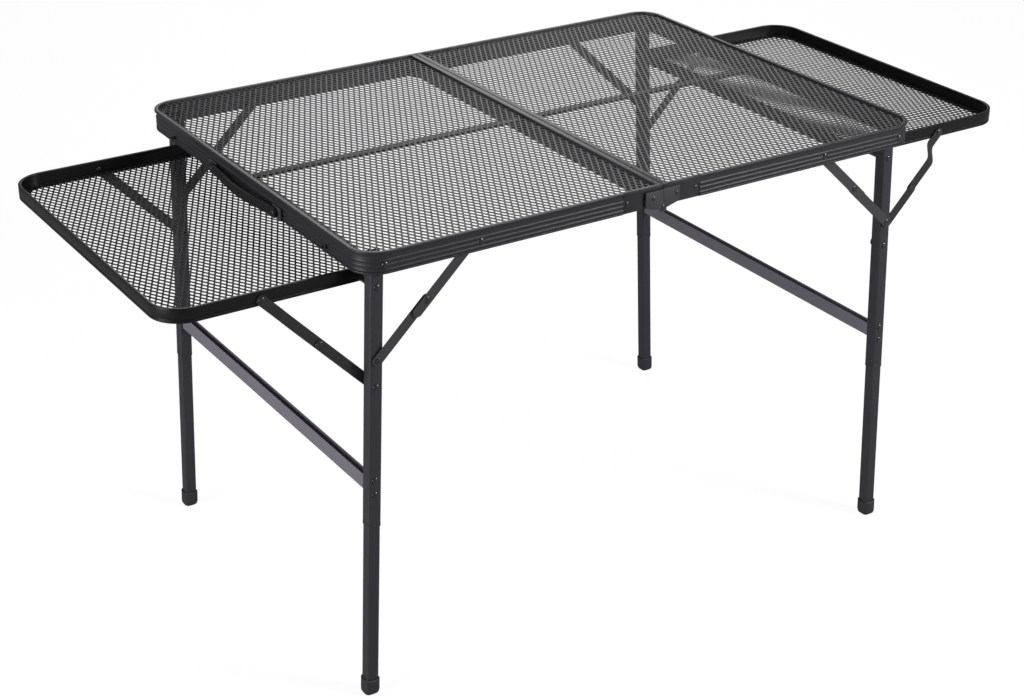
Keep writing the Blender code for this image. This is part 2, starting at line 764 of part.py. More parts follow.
def make_wing(name, sx):
    # The wing's rim, drilled for its pivots and riveted to its braces, and its mesh.
    pivot = wing_pivot(sx)
    end = pivot + Vector((sx * brace_arm, 0, 0))
    curve = swept_curve("wing_frame_" + name, wing_outline(sx, 0), wing_profile(), True)
    mesh = mesh_from_curve(curve)
    mesh.transform(Matrix.Translation((0, 0, pivot.z)))
    frame = add("wing_frame_" + name, mesh, black, 0.4, 0.3)
    inner, holes, pins = wing_half_width - wing_lip, [], []
    for _, sy in rows:
        reach = (sy * (inner - beyond), sy * (wing_half_width + beyond))
        holes.append((pivot, pin_profile(*reach, pin_radius + gap)))
        face = sy * (wing_link_y + link_thickness / 2 + gap)
        pin = pin_profile(sy * (inner - rivet_height), face, pin_radius, rivet_height)
        pins.append((end, pin))
    cut(frame, turned_mesh("wing_holes_" + name, holes))
    join(frame, turned_mesh("wing_pins_" + name, pins))
    inset = wing_lip + gap
    ledge = pivot.z + wing_rail_above_pivot - wing_lip_drop + gap
    net = mesh_panel("wing_mesh_" + name, *wing_box(sx, inset), wing_outline(sx, inset), ledge)
    group("wing_" + name, pivot, [frame, net])


def link_mesh(name, pivot, elbow, pivot_y, elbow_y, overlap):
    # A flat bar with round ends, which may run on past the elbow. A joggle near the pivot carries it from one
    # upright plane to another.
    line = elbow - pivot
    along = line.normalized()
    across = Vector((-along.z, 0, along.x))
    r, end = link_width / 2, line.length + overlap
    turns = [math.radians(angle) for angle in (75, 50, 25, 0)]
    stations = [(-r * math.sin(a), r * math.cos(a), pivot_y) for a in turns]
    if pivot_y != elbow_y:
        stations += [(joggle_start, r, pivot_y), (joggle_start + joggle_run, r, elbow_y)]
    stations += [(end + r * math.sin(a), r * math.cos(a), elbow_y) for a in reversed(turns)]
    shape, rings = bmesh.new(), []
    for distance, half, y in stations:
        middle = pivot + distance * along + Vector((0, y, 0))
        wide, thick = half * across, Vector((0, link_thickness / 2, 0))
        corners = (wide + thick, thick - wide, -wide - thick, wide - thick)
        rings.append([shape.verts.new(middle + corner) for corner in corners])
    for near, far in zip(rings, rings[1:]):
        for i in range(4):
            shape.faces.new((near[i], near[i - 1], far[i - 1], far[i]))
    shape.faces.new(rings[0])
    shape.faces.new(rings[-1])
    bmesh.ops.recalc_face_normals(shape, faces=shape.faces)
    mesh = bpy.data.meshes.new(name)
    shape.to_mesh(mesh)
    shape.free()
    return mesh


def make_link(title, pivot, elbow, pivot_y, elbow_y, head_way, overlap=0.0):
    # One half of a folding brace, drilled for its pivot pin, with the elbow's rivet head if it shows.
    link = add(title, link_mesh(title, pivot, elbow, pivot_y, elbow_y, overlap), charcoal, 0.4, 0.5)
    hole = pin_profile(pivot_y - beyond, pivot_y + beyond, pin_radius + gap)
    cut(link, turned_mesh(title + "_hole", [((pivot.x, 0, pivot.z), hole)]))
    if head_way:
        face = elbow_y + head_way * link_thickness / 2
        head = pin_profile(face - head_way * sunk, face, rivet_radius, rivet_height)
        join(link, turned_mesh(title + "_head", [((elbow.x, 0, elbow.z), head)]))
    group(title, pivot, [link])


def make_braces(name, sx):
    rim_end, leg_end = rim_seats(sx)[1], leg_place(sx, brace_arm)
    wing_end, low_end = wing_pivot(sx) + Vector((sx * brace_arm, 0, 0)), leg_place(sx, wing_brace_drop)
    main_elbow, wing_elbow = (rim_end + leg_end) / 2, (wing_end + low_end) / 2
    for row, sy in rows:
        title = "_" + name + "_" + row
        upper, lower = sy * upper_link_y, sy * lower_link_y
        make_link("main_brace_upper" + title, rim_end, main_elbow, upper, upper, sy, main_overlap)
        make_link("main_brace_lower" + title, leg_end, main_elbow, lower, lower, 0)
        upper, lower = sy * wing_elbow_y, sy * leg_link_y
        make_link("wing_brace_upper" + title, wing_end, wing_elbow, sy * wing_link_y, upper, 0)
        make_link("wing_brace_lower" + title, low_end, wing_elbow, lower, lower, sy)


def make_handle():
    # A strap bowed out between two brackets on the left end.
    face = -(top_half_length - foot_bead_inset + gap)
    half, z = handle_span / 2, top_height - handle_drop
    for row, sy in rows:
        title = "handle_bracket_" + row
        ends = sorted((sy * half, sy * (half - bracket_length)))
        low = (face - bracket_thickness, ends[0], z - bracket_height / 2)
        plate = boxes_mesh(title, [(low, (face, ends[1], z + bracket_height / 2))])
        add(title, plate, black, 0.35, 0.4)
    reach, steps = half - strap_inset, 16
    back = face - bracket_thickness - gap - handle_thickness / 2
    path = []
    for i in range(steps + 1):
        y = reach - 2 * reach * i / steps
        path.append((back - handle_bow * math.cos(math.pi * y / (2 * reach)) ** 2, y))
    t, h = handle_thickness / 2, handle_height / 2
    section = [(-t, -h), (t, -h), (t, h), (-t, h)]
    strap = add("handle_strap", swept_curve("handle_strap", path, section, False), black, 0.6, 0.0)
    strap.matrix_world = Matrix.Translation((0, 0, z))


def make_clasp(row, sy):
    # A hook plate on the right end that swings out and down over the other half's stud.
    y, half = sy * latch_offset, clasp_width / 2
    low = (clasp_x - clasp_thickness / 2, y - half, clasp_z - clasp_thickness / 2)
    high = (clasp_x + clasp_thickness / 2, y + half, clasp_z + clasp_length)
    hook = add("clasp_" + row, boxes_mesh("clasp_" + row, [(low, high)]), black, 0.3, 0.7)
    bore = pin_profile(y - half - beyond, y + half + beyond, clasp_pin_radius + gap)
    cut(hook, turned_mesh("clasp_bore_" + row, [((clasp_x, 0, clasp_z), bore)]))
    group("clasp_" + row, (clasp_x, y, clasp_z), [hook])


clear_scene()
parts = new_collection("folding_camping_table")
cutters = new_collection("cutters")
make_top_half("left", -1)
make_handle()
group("top_right", (0, 0, hinge_z), make_top_half("right", 1))
for line, sign in rows:
    make_clasp(line, sign)
for side, sign in sides:
    make_leg_pair(side, sign)
    make_wing(side, sign)
    make_braces(side, sign)
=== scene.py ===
import math

import bpy
import numpy as np
from mathutils import Matrix


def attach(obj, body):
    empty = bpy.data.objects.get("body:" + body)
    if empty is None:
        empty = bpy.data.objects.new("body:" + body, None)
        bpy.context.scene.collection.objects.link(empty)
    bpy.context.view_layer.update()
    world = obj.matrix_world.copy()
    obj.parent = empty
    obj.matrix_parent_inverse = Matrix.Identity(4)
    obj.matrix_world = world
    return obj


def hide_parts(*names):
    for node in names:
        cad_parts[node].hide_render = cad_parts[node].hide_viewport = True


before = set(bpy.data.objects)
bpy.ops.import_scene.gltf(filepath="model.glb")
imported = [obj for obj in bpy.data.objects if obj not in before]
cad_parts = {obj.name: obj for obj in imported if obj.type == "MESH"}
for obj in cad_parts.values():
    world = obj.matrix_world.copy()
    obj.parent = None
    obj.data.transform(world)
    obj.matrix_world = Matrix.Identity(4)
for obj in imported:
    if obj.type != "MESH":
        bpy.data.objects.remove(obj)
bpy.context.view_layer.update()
print("frame loaded")

# sizes shared by several pieces, in metres
top = {"halfLength": 0.410, "halfWidth": 0.300, "height": 0.600, "rimBottom": 0.572, "rimDepth": 0.012,
       "corner": 0.035, "lip": 0.005, "ledge": 0.5955, "seam": 0.0003, "plain": 0.057, "rivetZ": 0.5846}
leg = {"pivotX": 0.380, "pivotZ": 0.5835, "splay": math.radians(2.5), "size": 0.017, "wall": 0.0003,
       "outer": 0.2799, "inner": 0.2629, "upper": 0.341, "head": 0.006, "lowerSize": 0.0160,
       "rootDepth": 0.0003}
wing = {"halfWidth": 0.240, "pivotDrop": 0.035, "inner": 0.024, "outer": 0.243, "rise": 0.0115, "height": 0.018,
        "wall": 0.004, "ledge": 0.0012, "depth": 0.010, "corner": 0.040, "innerCorner": 0.018}
brace = {"arm": 0.125, "width": 0.013, "thick": 0.0016, "upperY": 0.2857, "lowerY": 0.2826,
         "wingY": 0.2411, "legY": 0.2606, "elbowY": 0.2587, "joggleStart": 0.018, "joggleRun": 0.026,
         "overlap": 0.018, "bevel": 0.0004, "stations": 41, "endSteps": 9}
pivot = {"radius": 0.003, "head": 0.0045, "height": 0.0021, "seat": 0.2978, "flatHeight": 0.0011,
         "legHeight": 0.0016, "studHeight": 0.0008, "spacer": 0.005, "innerHead": 0.003, "innerHeight": 0.0009}
clearance = 0.0003  # between pieces that lie against each other
thinEdge = 0.0003  # rounding of sheet and tube edges
leg["y"] = (leg["outer"] + leg["inner"]) / 2
leg["length"] = leg["pivotZ"] / math.cos(leg["splay"])
brace["face"] = brace["thick"] / 2 + clearance
sides = (("left", -1), ("right", 1))
rows = (("front", -1), ("back", 1))
alongX, alongY, alongZ = np.eye(3)


def unit(vector):
    return np.asarray(vector, float) / np.linalg.norm(vector)


def outward(points, faces):
    # the volume of triangle fans is negative when faces point in, and they are then turned round
    fans = np.array([(f[0], f[i], f[i + 1]) for f in faces for i in range(1, len(f) - 1)])
    a, b, c = (points[fans[:, i]] for i in range(3))
    flip = np.einsum("ij,ij->i", a, np.cross(b, c)).sum() < 0
    return points, [f[::-1] for f in faces] if flip else faces


def stack(loops, closed=False):
    # quads join each closed loop of points to the next, and flat caps close both ends
    loops = np.asarray(loops, float)
    count, size = loops.shape[:2]
    index = np.arange(count * size).reshape(count, size)
    near = index if closed else index[:-1]
    far = np.roll(index, -1, axis=0)[:len(near)]
    quads = np.stack([near, np.roll(near, -1, 1), np.roll(far, -1, 1), far], -1).reshape(-1, 4)
    caps = [] if closed else [index[0][::-1].tolist(), index[-1].tolist()]
    return outward(loops.reshape(-1, 3), quads.tolist() + caps)


def softened(outline, radius, steps=3):
    # each corner becomes a quadratic curve between two points set back along its edges
    corner = np.asarray(outline, float)
    before, after = np.roll(corner, 1, 0) - corner, np.roll(corner, -1, 0) - corner
    lengthA = np.linalg.norm(before, axis=1, keepdims=True)
    lengthB = np.linalg.norm(after, axis=1, keepdims=True)
    back = np.minimum(radius, 0.45 * np.minimum(lengthA, lengthB))
    a, b = corner + before / lengthA * back, corner + after / lengthB * back
    t = np.linspace(0, 1, steps + 1)[None, :, None]
    curve = (1 - t) ** 2 * a[:, None] + 2 * t * (1 - t) * corner[:, None] + t ** 2 * b[:, None]
    return curve.reshape(-1, 2)


def rectangle(halfA, halfB):
    return np.array([(-halfA, -halfB), (halfA, -halfB), (halfA, halfB), (-halfA, halfB)])


def inset(outline, distance):
    # each corner moves in along the sum of its two edge normals over one plus their product
    before, after = outline - np.roll(outline, 1, 0), np.roll(outline, -1, 0) - outline
    turned90 = np.array([[0, 1], [-1, 0]])
    normalA = before @ turned90 / np.linalg.norm(before, axis=1, keepdims=True)
    normalB = after @ turned90 / np.linalg.norm(after, axis=1, keepdims=True)
    bisector = (normalA + normalB) / (1 + (normalA * normalB).sum(1, keepdims=True))
    x, y = outline.T
    side = np.sign((x * np.roll(y, -1) - y * np.roll(x, -1)).sum())
    return outline + side * distance * bisector


def plate(outline, low, high, edge, origin, axes):
    # copies of the outline, drawn in towards both faces to round the edge, stand along the third axis
    knee = 0.3 * edge
    heights = (low, low + knee, low + edge, high - edge, high - knee, high)
    draws = (edge, knee, 0, 0, knee, edge)
    loops = []
    for height, draw in zip(heights, draws):
        flat = inset(outline, draw)
        loops.append(origin + flat[:, :1] * axes[0] + flat[:, 1:] * axes[1] + height * axes[2])
    return stack(loops)


def tube(outer, inner, low, high, edge, origin, axes):
    # outer loops from low to high and inner loops back again, closed on themselves
    loops = []
    levels = ((outer, edge, low), (outer, 0, low + edge), (outer, 0, high - edge), (outer, edge, high),
              (inner, 0, high), (inner, 0, low))
    for outline, draw, height in levels:
        flat = inset(outline, draw)
        loops.append(origin + flat[:, :1] * axes[0] + flat[:, 1:] * axes[1] + height * axes[2])
    return stack(loops, closed=True)


def turned(centre, axis, profile, steps=20):
    # circles of each profile radius stand along the axis at each profile height
    axis = unit(axis)
    side = unit(np.cross(axis, (0.3, 0.2, 0.9)))
    angle = np.linspace(0, 2 * math.pi, steps, endpoint=False)[:, None]
    circle = np.cos(angle) * side + np.sin(angle) * np.cross(axis, side)
    return stack([np.asarray(centre) + radius * circle + height * axis for radius, height in profile])


def rivet(centre, axis, radius, height, root=0.0006):
    # half an ellipsoid, sunk a little into what it sits on
    share = np.array([1, 0.97, 0.88, 0.74, 0.56, 0.34, 0.1])
    dome = np.stack([radius * share, height * np.sqrt(1 - share ** 2)], 1)
    return turned(centre, axis, [(radius, -root)] + dome.tolist())


def pin(start, stop, radius):
    # a plain round pin between two points
    start, stop = np.asarray(start, float), np.asarray(stop, float)
    length = np.linalg.norm(stop - start)
    return turned(start, stop - start, [(radius, 0), (radius, length)], 14)


def arcs(corners):
    # points round each (centre x, centre y, radius, start, stop) arc in turn, with their outward normals
    points, normals = [], []
    for x, y, radius, start, stop, steps in corners:
        angle = np.radians(np.linspace(start, stop, steps + 1))
        normal = np.stack([np.cos(angle), np.sin(angle)], 1)
        points.append(np.array([x, y]) + radius * normal)
        normals.append(normal)
    return np.concatenate(points), np.concatenate(normals)


def swept(profile, path, normals, z, closed=False):
    # at each path point the profile stands across the path: outward along the normal, and up
    flat = path[:, None] + profile[None, :, :1] * normals[:, None]
    height = np.broadcast_to(z + profile[None, :, 1:], flat.shape[:2] + (1,))
    return stack(np.concatenate([flat, height], 2), closed)


def bar(middles, halves, across, thick, bevel):
    # eight-cornered sections of each half width stand at each middle, with bevelled edges
    t = thick / 2
    loops = []
    for middle, half in zip(middles, halves):
        b = min(bevel, half * 0.5)
        section = np.array([(half - b, t), (b - half, t), (-half, t - b), (-half, b - t),
                            (b - half, -t), (half - b, -t), (half, b - t), (half, t - b)])
        loops.append(middle + section[:, :1] * across + section[:, 1:] * alongY)
    return stack(loops)


def piece(name, solids, body, material, stands=(), angle=34):
    points, faces, start = [], [], 0
    for corners, loops in solids:
        points.append(corners)
        faces += [[i + start for i in loop] for loop in loops]
        start += len(corners)
    mesh = bpy.data.meshes.new(name)
    mesh.from_pydata(np.concatenate(points).tolist(), [], faces)
    mesh.shade_smooth()
    mesh.set_sharp_from_angle(angle=math.radians(angle))
    mesh.materials.append(material)
    made = bpy.data.objects.new(name, mesh)
    bpy.context.scene.collection.objects.link(made)
    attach(made, body)
    if stands:
        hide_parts(*stands)
    return made


def linear(code):
    # an sRGB hex code as linear light
    parts = [int(code[i:i + 2], 16) / 255 for i in (1, 3, 5)]
    return [p / 12.92 if p <= 0.04045 else ((p + 0.055) / 1.055) ** 2.4 for p in parts] + [1]


def addNode(tree, kind, inputs=(), **settings):
    node = tree.nodes.new(kind)
    for key, value in settings.items():
        setattr(node, key, value)
    for key, value in dict(inputs).items():
        if isinstance(value, bpy.types.NodeSocket):
            tree.links.new(value, node.inputs[key])
        else:
            node.inputs[key].default_value = value
    return node


def ramp(tree, fac, low, high):
    # maps a 0 to 1 pattern onto the range from low to high
    node = addNode(tree, "ShaderNodeMapRange", {"Value": fac, "To Min": low, "To Max": high})
    return node.outputs["Result"]


def coated(name, dark, light, rough, metal, patchMm, grainMm, grainBump, clear=0.0, shine=0.5):
    # a coating whose colour drifts over patches, with fine grain in its gloss and a shallow grain bump
    material = bpy.data.materials.new(name)
    material.use_nodes = True
    tree = material.node_tree
    shader = tree.nodes["Principled BSDF"]
    place = addNode(tree, "ShaderNodeTexCoord").outputs["Object"]
    patch = addNode(tree, "ShaderNodeTexNoise", {"Vector": place, "Scale": 1000 / patchMm, "Detail": 3.0})
    grain = addNode(tree, "ShaderNodeTexNoise", {"Vector": place, "Scale": 1000 / grainMm, "Detail": 2.0})
    tint = addNode(tree, "ShaderNodeMix", {"Factor": patch.outputs["Fac"]}, data_type="RGBA")
    tint.inputs[6].default_value = linear(dark)
    tint.inputs[7].default_value = linear(light)
    tree.links.new(tint.outputs[2], shader.inputs["Base Color"])
    gloss = ramp(tree, grain.outputs["Fac"], rough[0], rough[1])
    tree.links.new(gloss, shader.inputs["Roughness"])
    bump = addNode(tree, "ShaderNodeBump", {"Height": grain.outputs["Fac"], "Strength": 0.35,
                                            "Distance": grainBump})
    tree.links.new(bump.outputs["Normal"], shader.inputs["Normal"])
    shader.inputs["Metallic"].default_value = metal
    shader.inputs["Specular IOR Level"].default_value = shine
    shader.inputs["Coat Weight"].default_value = clear
    shader.inputs["Coat Roughness"].default_value = 0.2
    return material


# satin powder coat on aluminium: soft, wide highlights along the ribs
rimPaint = coated("satin_powder_coat_aluminium", "#262629", "#2c2c30", (0.34, 0.46), 0.0, 60, 0.9, 0.00006)
# smoother near-black coat on the wings: deep, with thin bright edges
wingPaint = coated("black_powder_coat_aluminium", "#0b0b0c", "#101011", (0.26, 0.38), 0.0, 70, 0.9, 0.00005,
                   shine=0.35)
# dull grey-violet paint on the steel legs: even tone, weak highlights
legPaint = coated("matt_grey_paint_steel", "#2d2b32", "#333138", (0.44, 0.58), 0.0, 50, 0.7, 0.00005)
# lighter grey paint on the cross bars: the palest of the painted steel, dead matt
barPaint = coated("light_grey_paint_steel", "#77747e", "#807d87", (0.72, 0.84), 0.0, 50, 0.7, 0.00005,
                  shine=0.1)
# painted expanded steel: mid grey strands with a slight sheen
meshPaint = coated("grey_paint_expanded_steel", "#3a3a3c", "#454547", (0.40, 0.54), 0.1, 25, 0.6, 0.00004)
# darker coat on the wings' expanded steel
wingMeshPaint = coated("black_paint_expanded_steel", "#1e1e20", "#29292b", (0.28, 0.42), 0.1, 25, 0.6, 0.00004)
# dark grey paint on strip steel and small fittings: plain, with a soft sheen
linkPaint = coated("dark_grey_paint_strip_steel", "#39393c", "#434346", (0.34, 0.48), 0.0, 20, 0.5, 0.00004)
# blacker paint on the wings' braces: darker than the main braces beside the pale cross bars
wingLinkPaint = coated("black_paint_strip_steel", "#252527", "#2d2d2f", (0.34, 0.48), 0.0, 20, 0.5, 0.00004)
# glossy black steel of rivets, bolts and studs: small sharp highlights
rivetSteel = coated("glossy_black_steel", "#070708", "#0b0b0c", (0.30, 0.36), 0.0, 8, 0.4, 0.00001, 1.0)
# moulded black plastic of the feet and bushes: dull, finely grained
plastic = coated("grained_black_plastic", "#2c2c30", "#333337", (0.50, 0.64), 0.0, 15, 0.5, 0.00006)
# black rubber strap: soft sheen
rubber = coated("smooth_black_rubber", "#0e0e0f", "#151516", (0.34, 0.46), 0.0, 15, 0.6, 0.00004)
print("materials made")


def legFrame(sx):
    # origin on the leg pivot, then the way across the leg, along the table's depth, and down the leg
    down = np.array([sx * math.sin(leg["splay"]), 0, -math.cos(leg["splay"])])
    across = np.array([math.cos(leg["splay"]), 0, sx * math.sin(leg["splay"])])
    return np.array([sx * leg["pivotX"], 0, leg["pivotZ"]]), (across, alongY, down)


def legPoint(sx, drop, y=0.0):
    origin, axes = legFrame(sx)
    return origin + drop * axes[2] + y * alongY


# expanded metal: strand and bond sizes, and one pitch pair for the top and one for the wings
net = {"strand": 0.0020, "bond": 0.0026, "bondLength": 0.0016, "thick": 0.0007, "tilt": math.radians(10),
       "topPitch": (0.00826, 0.0161), "wingPitch": (0.0079, 0.0157), "tuck": 0.8, "shortest": 0.0004,
       "edgeGap": 0.0004, "seamEdge": 0.0083, "seamCorner": 0.0005, "topZ": 0.59665, "wingRise": 0.00105}


def insideRounded(points, low, high, radii):
    # distance to a rectangle whose corners have their own radii at low x and at high x: negative inside
    middle, half = (low + high) / 2, (high - low) / 2
    offset = points - middle
    radius = np.where(offset[:, 0] < 0, radii[0], radii[1])
    q = np.abs(offset) - half + radius[:, None]
    return np.linalg.norm(np.maximum(q, 0), axis=1) + np.minimum(q.max(1), 0) - radius


def expandedMesh(low, high, radii, z, pitch):
    # lattice nodes are bonds along Y; from each, two strands rise to the nodes half a pitch on either side
    low, high = np.array(low), np.array(high)
    stepX, stepY = pitch[0] / 2, pitch[1] / 2
    countX, countY = (np.ceil((high - low) / (stepX, stepY)) + 1).astype(int)
    i, j = np.meshgrid(np.arange(-1, countX + 1), np.arange(-1, countY + 1), indexing="ij")
    keep = (i + j) % 2 == 0
    nodes = np.stack([low[0] + i[keep] * stepX, low[1] + j[keep] * stepY], 1)
    reach = np.array([0, net["bondLength"] / 2])
    starts = [nodes - reach]
    stops = [nodes + reach]
    kinds = [np.zeros(len(nodes))]
    for way in (-1, 1):
        starts.append(nodes + net["tuck"] * reach)
        stops.append(nodes + (way * stepX, stepY) - net["tuck"] * reach)
        kinds.append(np.full(len(nodes), way))
    a, b, kind = np.concatenate(starts), np.concatenate(stops), np.concatenate(kinds)
    # strands that cross the panel's edge are cut there
    outA, outB = insideRounded(a, low, high, radii), insideRounded(b, low, high, radii)
    keep = (outA < 0) | (outB < 0)
    a, b, kind, outA, outB = a[keep], b[keep], kind[keep], outA[keep, None], outB[keep, None]
    cutA = np.where(outA > 0, outA / np.where(outA > 0, outA - outB, 1), 0)
    cutB = np.where(outB > 0, outB / np.where(outB > 0, outB - outA, 1), 0)
    a, b = a + cutA * (b - a), b - cutB * (b - a)
    keep = np.linalg.norm(b - a, axis=1) > net["shortest"]
    a, b, kind = a[keep], b[keep], kind[keep]
    along = (b - a) / np.linalg.norm(b - a, axis=1, keepdims=True)
    side = np.stack([along[:, 1], -along[:, 0]], 1)
    half = np.where(kind == 0, net["bond"], net["strand"]) / 2
    tilt = np.full(len(half), net["tilt"])
    wide = np.concatenate([side * (half * np.cos(tilt))[:, None], (half * np.sin(tilt))[:, None]], 1)
    up = np.concatenate([-side * np.sin(tilt)[:, None], np.cos(tilt)[:, None]], 1) * net["thick"] / 2
    ends = [np.concatenate([p, np.full((len(p), 1), z)], 1) for p in (a, b)]
    corners = [end + s * wide + t * up for end in ends for s, t in ((-1, -1), (1, -1), (1, 1), (-1, 1))]
    points = np.stack(corners, 1).reshape(-1, 3)
    quads = np.array([(0, 1, 2, 3), (7, 6, 5, 4), (0, 4, 5, 1), (1, 5, 6, 2), (2, 6, 7, 3), (3, 7, 4, 0)])
    faces = (np.arange(len(a))[:, None, None] * 8 + quads).reshape(-1, 4)
    return points, faces.tolist()


for name, sx in sides:
    inner, outer = top["seam"] + net["seamEdge"], top["halfLength"] - top["lip"] - net["edgeGap"]
    y = top["halfWidth"] - top["lip"] - net["edgeGap"]
    xs = sorted((sx * inner, sx * outer))
    radii = (net["seamCorner"], top["corner"] - top["lip"])[::sx]
    panel = expandedMesh((xs[0], -y), (xs[1], y), radii, net["topZ"], net["topPitch"])
    piece("top_net_" + name, [panel], "top_" + name, meshPaint, ["top_mesh_" + name])
    x = legPoint(sx, wing["pivotDrop"])[0]
    near, far = (wing[end] - wing["wall"] - net["edgeGap"] for end in ("inner", "outer"))
    xs = sorted((x - sx * near, x + sx * far))
    y = wing["halfWidth"] - wing["wall"] - net["edgeGap"]
    radii = (wing["innerCorner"] - wing["wall"], wing["corner"] - wing["wall"])[::sx]
    z = legPoint(sx, wing["pivotDrop"])[2] + wing["rise"] - wing["height"] + wing["ledge"] + net["wingRise"]
    panel = expandedMesh((xs[0], -y), (xs[1], y), radii, z, net["wingPitch"])
    piece("wing_net_" + name, [panel], "wing_" + name, wingMeshPaint, ["wing_mesh_" + name])
print("expanded metal made")

# the ribbed rim: heights up the outer face and depths in from it
rim = {"footInset": 0.001, "footHeight": 0.0025, "waist": 0.0022, "rib": 0.0011, "ribs": 3, "ribPitch": 0.0058,
       "ribRoot": 0.0003, "ribWidth": 0.0038, "ribSteps": 8, "bandTop": 0.024, "beadFoot": 0.025, "round": 0.0009}


def rimProfile():
    # each rib is half an ellipse that stands out from the waist
    height = top["height"] - top["rimBottom"]
    lines = [(-top["rimDepth"], 0), (-rim["footInset"], 0), (-rim["footInset"], rim["footHeight"])]
    turns = np.linspace(0, math.pi, rim["ribSteps"] + 1)
    for i in range(rim["ribs"]):
        middle = rim["footHeight"] + i * rim["ribPitch"] + rim["ribRoot"] + rim["ribWidth"] / 2
        half = rim["ribWidth"] / 2
        lines += [(rim["rib"] * math.sin(t) - rim["waist"], middle - half * math.cos(t)) for t in turns]
    lines += [(-rim["waist"], rim["bandTop"]), (0, rim["beadFoot"]), (0, height), (-top["lip"], height)]
    lines += [(-top["lip"], top["ledge"] - top["rimBottom"]), (-top["rimDepth"], top["ledge"] - top["rimBottom"])]
    return softened(lines, rim["round"])


for name, sx in sides:
    x, y, r = top["halfLength"] - top["corner"], top["halfWidth"] - top["corner"], top["corner"]
    path, normals = arcs([(x, -y, r, 270, 360, 14), (x, y, r, 0, 90, 14)])
    path = np.concatenate([[(top["plain"], -top["halfWidth"])], path, [(top["plain"], top["halfWidth"])]])
    normals = np.concatenate([normals[:1], normals, normals[-1:]])
    flip = np.array([sx, 1])
    solids = [swept(rimProfile(), path * flip, normals * flip, top["rimBottom"])]
    piece("ribbed_rim_" + name, solids, "top_" + name, rimPaint, ["rim_" + name])

# seam rails, the bars under the mesh, and the plain blocks beside the seam
seam = {"width": 0.008, "edge": 0.0008, "round": 0.0004, "barTop": 0.5952, "barWidth": 0.014, "barDepth": 0.0025,
        "barRound": 0.0006, "tabDrop": 0.015, "tabThick": 0.002, "blockOuter": 0.2978, "blockRound": 0.0008,
        "lipFoot": 0.5945, "lipOuter": 0.2997}
for name, sx in sides:
    body = "top_" + name
    middle = top["seam"] + seam["width"] / 2
    foot = top["halfWidth"] - top["rimDepth"] - clearance
    reach = top["halfWidth"] - top["lip"] - clearance
    ledge = top["ledge"] + clearance
    outline = np.array([(-foot, top["rimBottom"]), (foot, top["rimBottom"]), (foot, ledge), (reach, ledge),
                        (reach, top["height"]), (-reach, top["height"]), (-reach, ledge), (-foot, ledge)])
    rail = plate(softened(outline, seam["round"]), -seam["width"] / 2, seam["width"] / 2, seam["edge"],
                 sx * middle * alongX, (alongY, alongZ, alongX))
    piece("seam_edge_" + name, [rail], body, rimPaint, ["seam_rail_" + name])
    start, stop = top["seam"] + seam["width"] + clearance, top["halfLength"] - top["rimDepth"] - clearance
    high = seam["barTop"]
    low, knee = high - seam["barDepth"], start + seam["tabThick"]
    outline = [(start, high), (stop, high), (stop, low), (knee, low), (knee, high - seam["tabDrop"]),
               (start, high - seam["tabDrop"])]
    outline = softened(np.array(outline) * (sx, 1), seam["barRound"])
    half = seam["barWidth"] / 2
    strip = plate(outline, -half, half, thinEdge, np.zeros(3), (alongX, alongZ, alongY))
    piece("centre_strip_" + name, [strip], body, wingPaint, ["centre_bar_" + name])
    for row, sy in rows:
        inner, lip = top["halfWidth"] - top["rimDepth"], top["halfWidth"] - top["lip"]
        outline = [(inner, top["rimBottom"]), (seam["blockOuter"], top["rimBottom"]),
                   (seam["blockOuter"], seam["lipFoot"]), (seam["lipOuter"], seam["lipFoot"]),
                   (seam["lipOuter"], top["height"]), (lip, top["height"]), (lip, top["ledge"]),
                   (inner, top["ledge"])]
        outline = softened(np.array(outline) * (sy, 1), seam["blockRound"])
        block = plate(outline, top["seam"], top["plain"] - clearance, thinEdge, np.zeros(3),
                      (alongY, alongZ, sx * alongX))
        title = "_" + name + "_" + row
        piece("seam_block" + title, [block], body, rimPaint, ["hinge_block" + title])
print("top made")

